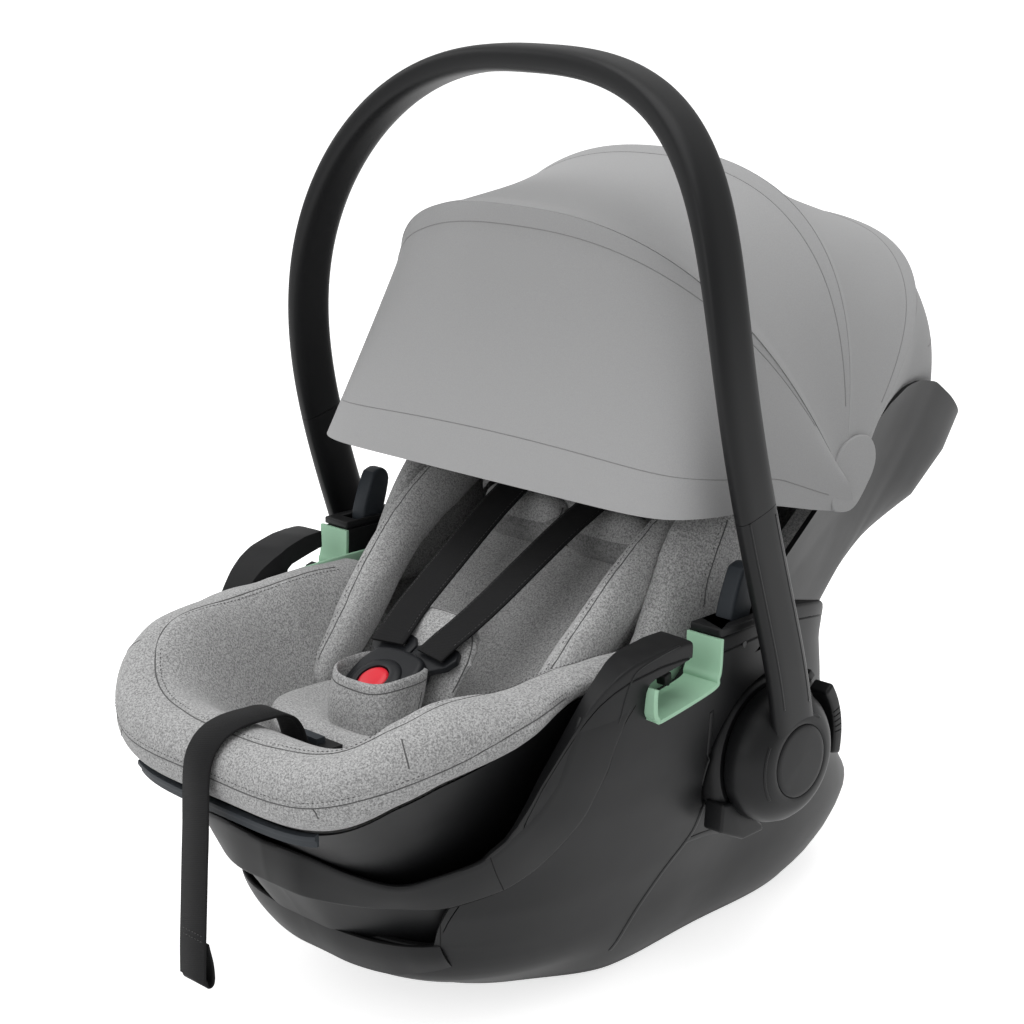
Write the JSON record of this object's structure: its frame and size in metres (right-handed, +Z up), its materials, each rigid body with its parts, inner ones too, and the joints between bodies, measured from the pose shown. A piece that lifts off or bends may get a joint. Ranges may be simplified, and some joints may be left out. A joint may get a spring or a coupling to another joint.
{
  "type": "infant car seat",
  "caption": "Rear-facing infant carrier with a turning carry handle, folding canopy, padded cover with harness and side slots for a car's lap belt.",
  "frame": {"origin": "centre of the outer box of the seat, without its hanging adjuster strap, on the floor", "axes": "+Z up; the child's feet point to -Y and the head to +Y; +X is the right-hand side seen from the foot end"},
  "size_m": [0.4358, 0.688, 0.6325],
  "materials": {
    "shell_plastic": "satin",
    "handle_plastic": "satin",
    "tab_plastic": "satin",
    "hook_plastic": "satin",
    "steel": "satin",
    "canopy_fabric": "matte",
    "cover_fabric": "matte",
    "lining_fabric": "matte",
    "pad_fabric": "matte",
    "webbing": "matte",
    "buckle_plastic": "satin",
    "button_plastic": "gloss"
  },
  "bodies": {
    "seat": {"base_shell": "shell_plastic", "base_plate": "shell_plastic", "lock_bar_front": "steel", "lock_bar_rear": "steel", "seat_bucket": "shell_plastic", "grip_trim": "tab_plastic", "belt_hook_right": "hook_plastic", "belt_hook_left": "hook_plastic", "tower_cap_right": "shell_plastic", "tower_cap_left": "shell_plastic", "lever_pins": "steel", "hub_base_right": "shell_plastic", "hub_base_left": "shell_plastic", "axle_right": "steel", "axle_left": "steel", "canopy_bracket_right": "shell_plastic", "canopy_bracket_left": "shell_plastic", "canopy_pins": "steel", "canopy_tail": "canopy_fabric", "canopy_panel_rear": "canopy_fabric", "seat_liner": "lining_fabric", "rim_cushion": "cover_fabric", "wing_pad_right": "cover_fabric", "wing_pad_left": "cover_fabric", "insert_seat": "pad_fabric", "insert_back": "pad_fabric", "insert_bolster_right": "pad_fabric", "insert_bolster_left": "pad_fabric", "headrest_guide": "shell_plastic", "crotch_pad": "cover_fabric", "crotch_strap": "webbing", "buckle_body": "buckle_plastic", "tongue_right": "buckle_plastic", "tongue_left": "buckle_plastic", "shoulder_strap_right": "webbing", "shoulder_strap_left": "webbing", "lap_strap_right": "webbing", "lap_strap_left": "webbing", "adjuster_housing": "shell_plastic", "adjuster_strap": "webbing"},
    "handle": {"handle_grip": "handle_plastic", "handle_leg_right": "handle_plastic", "handle_leg_left": "handle_plastic", "hub_cap_right": "handle_plastic", "hub_cap_left": "handle_plastic"},
    "release_button_right": {"release_button_right": "handle_plastic"},
    "release_button_left": {"release_button_left": "handle_plastic"},
    "lever_right": {"lever_right": "tab_plastic"},
    "lever_left": {"lever_left": "tab_plastic"},
    "canopy_mid": {"bow_mid": "shell_plastic", "canopy_panel_front": "canopy_fabric"},
    "canopy_front": {"bow_front": "shell_plastic", "canopy_visor": "canopy_fabric"},
    "headrest": {"headrest_shell": "shell_plastic", "headrest_pad": "pad_fabric", "headrest_lobe_right": "pad_fabric", "headrest_lobe_left": "pad_fabric"},
    "buckle_button": {"buckle_button": "button_plastic"},
    "adjuster_button": {"adjuster_button": "tab_plastic"}
  },
  "joints": [
    {"name": "handle_turn", "type": "hinge", "parent": "seat", "child": "handle", "pos_m": [0, 0.0005, 0.165], "axis": [-1, 0, 0], "range_deg": [0, 104]},
    {"name": "release_press_right", "type": "slide", "parent": "seat", "child": "release_button_right", "axis": [-1, 0, 0], "range_m": [0, 0.004], "stiffness_N_per_m": 900, "springref_m": -0.002},
    {"name": "release_press_left", "type": "slide", "parent": "seat", "child": "release_button_left", "axis": [1, 0, 0], "range_m": [0, 0.004], "stiffness_N_per_m": 900, "springref_m": -0.002},
    {"name": "lever_tilt_right", "type": "hinge", "parent": "seat", "child": "lever_right", "pos_m": [0, -0.0385, 0.253], "axis": [-1, 0, 0], "range_deg": [0, 12], "stiffness_Nm_per_rad": 0.6, "springref_deg": -5.73},
    {"name": "lever_tilt_left", "type": "hinge", "parent": "seat", "child": "lever_left", "pos_m": [0, -0.0385, 0.253], "axis": [-1, 0, 0], "range_deg": [0, 12], "stiffness_Nm_per_rad": 0.6, "springref_deg": -5.73},
    {"name": "canopy_mid_fold", "type": "hinge", "parent": "seat", "child": "canopy_mid", "pos_m": [0, 0.0735, 0.343], "axis": [-1, 0, 0], "range_deg": [0, 34], "deforming": ["canopy_panel_rear"]},
    {"name": "canopy_front_fold", "type": "hinge", "parent": "canopy_mid", "child": "canopy_front", "pos_m": [0, 0.0735, 0.343], "axis": [-1, 0, 0], "range_deg": [0, 34], "deforming": ["canopy_panel_front"]},
    {"name": "headrest_slide", "type": "slide", "parent": "seat", "child": "headrest", "axis": [0, 0.8192, 0.5736], "range_m": [0, 0.045]},
    {"name": "buckle_press", "type": "slide", "parent": "seat", "child": "buckle_button", "axis": [0, 0.4695, -0.8829], "range_m": [0, 0.005], "stiffness_N_per_m": 1200, "springref_m": -0.002},
    {"name": "adjuster_press", "type": "slide", "parent": "seat", "child": "adjuster_button", "axis": [0, 0, -1], "range_m": [0, 0.004], "stiffness_N_per_m": 900, "springref_m": -0.002}
  ],
  "couplings": [
    {"joint": "canopy_front_fold", "follows": "canopy_mid_fold", "ratio": 1}
  ]
}
